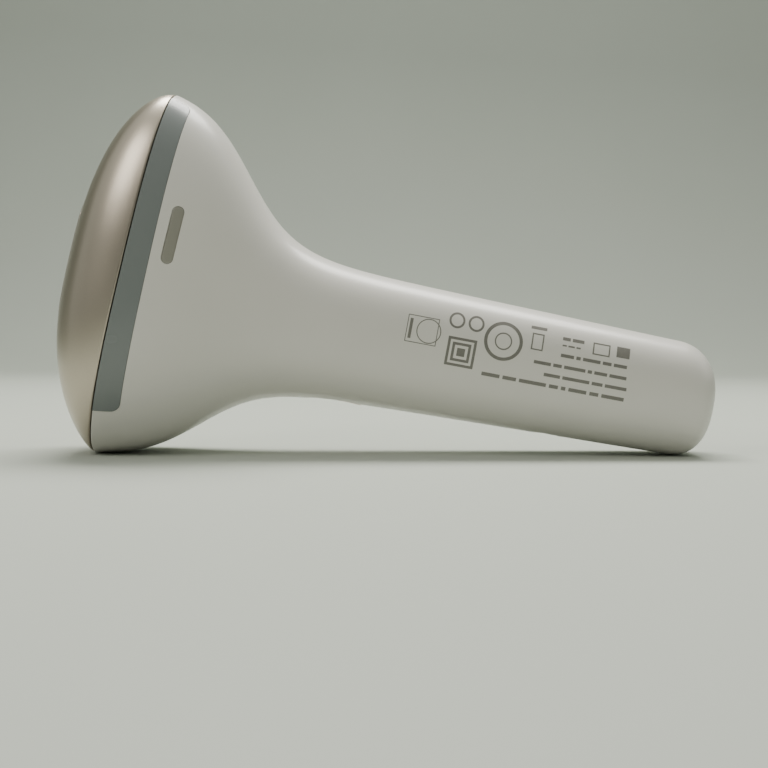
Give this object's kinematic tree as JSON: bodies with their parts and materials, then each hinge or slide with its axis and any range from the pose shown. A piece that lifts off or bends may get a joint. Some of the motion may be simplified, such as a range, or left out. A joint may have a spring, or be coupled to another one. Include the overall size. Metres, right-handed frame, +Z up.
{
  "type": "ipl hair remover",
  "caption": "Hand-held pulsed-light hair remover: tapering white handle, tall domed head with pull-off window attachment and sprung safety ring.",
  "frame": {"origin": "on the table, under the middle of the part's bounding box", "axes": "+Z up off the table, +X from the domed head towards the handle end, +Y across the handle to its far side"},
  "size_m": [0.1988, 0.0546, 0.109],
  "materials": {
    "white_plastic": "satin moulded",
    "champagne": "satin metallic lacquer",
    "polished_champagne": "polished",
    "band_grey": "satin",
    "ready_lens": "smooth translucent",
    "inner_white": "fine spark texture",
    "black_plastic": "fine matt texture",
    "button_metallic": "satin metallic lacquer",
    "button_grey": "satin",
    "clear_guide": "frosted light guide",
    "filter_glass": "dichroic coated",
    "quartz": "clear quartz",
    "mirror_metal": "polished reflector",
    "aluminium": "bare",
    "steel": "bare",
    "gold_contact": "gold flashed",
    "ceramic": "sintered",
    "circuit_board": "solder mask",
    "sleeve_film": "heat-shrunk film",
    "winding": "lacquered copper",
    "led": "clear resin",
    "lead_red": "silicone"
  },
  "bodies": {
    "handpiece": {"near_casing": "white_plastic", "far_casing": "white_plastic", "near_side_band": "band_grey", "far_side_band": "band_grey", "near_ready_lens": "ready_lens", "far_ready_lens": "ready_lens", "ready_leds": "led", "front_plate": "inner_white", "front_screws": "steel", "contact_pins": "gold_contact", "window_frame": "aluminium", "filter_glass": "filter_glass", "reflector": "mirror_metal", "flash_lamp": "quartz", "lamp_electrodes": "steel", "lamp_holders": "ceramic", "lamp_carrier": "black_plastic", "heat_sink": "aluminium", "fan_frame": "black_plastic", "main_capacitor": "aluminium", "capacitor_sleeve": "sleeve_film", "capacitor_cradle": "black_plastic", "power_board": "circuit_board", "trigger_coil": "winding", "charge_transformer": "winding", "control_board": "circuit_board", "tact_switches": "black_plastic", "intensity_leds": "led", "intensity_light_guide": "clear_guide", "end_cap": "inner_white", "dc_socket": "black_plastic", "dc_centre_pin": "gold_contact", "inlet_leads": "lead_red", "lamp_leads": "lead_red"},
    "attachment": {"attachment_shell": "champagne", "window_bezel": "polished_champagne", "light_tunnel": "mirror_metal", "attachment_base": "inner_white", "snap_hooks": "inner_white", "ring_springs": "steel", "safety_switches": "black_plastic", "contact_pads": "gold_contact"},
    "safety_ring": {"safety_ring": "black_plastic"},
    "fan_rotor": {"fan_rotor": "black_plastic"},
    "flash_button": {"flash_button": "button_metallic"},
    "power_button": {"power_button": "button_grey"}
  },
  "joints": [
    {"name": "attachment_release", "type": "slide", "parent": "handpiece", "child": "attachment", "axis": [-0.9749, 0, 0.2226], "range_m": [0, 0.03]},
    {"name": "safety_ring_press", "type": "slide", "parent": "attachment", "child": "safety_ring", "axis": [0.9749, 0, -0.2226], "range_m": [0, 0.001], "stiffness_N_per_m": 500},
    {"name": "flash_button_press", "type": "slide", "parent": "handpiece", "child": "flash_button", "axis": [0.1798, 0, 0.9837], "range_m": [0, 0.0008], "stiffness_N_per_m": 600},
    {"name": "power_button_press", "type": "slide", "parent": "handpiece", "child": "power_button", "axis": [0.1798, 0, 0.9837], "range_m": [0, 0.0005], "stiffness_N_per_m": 600},
    {"name": "fan_spin", "type": "hinge", "parent": "handpiece", "child": "fan_rotor", "pos_m": [-0.03831, 0, 0.04172], "axis": [0.9837, 0, -0.1798], "continuous": true}
  ]
}
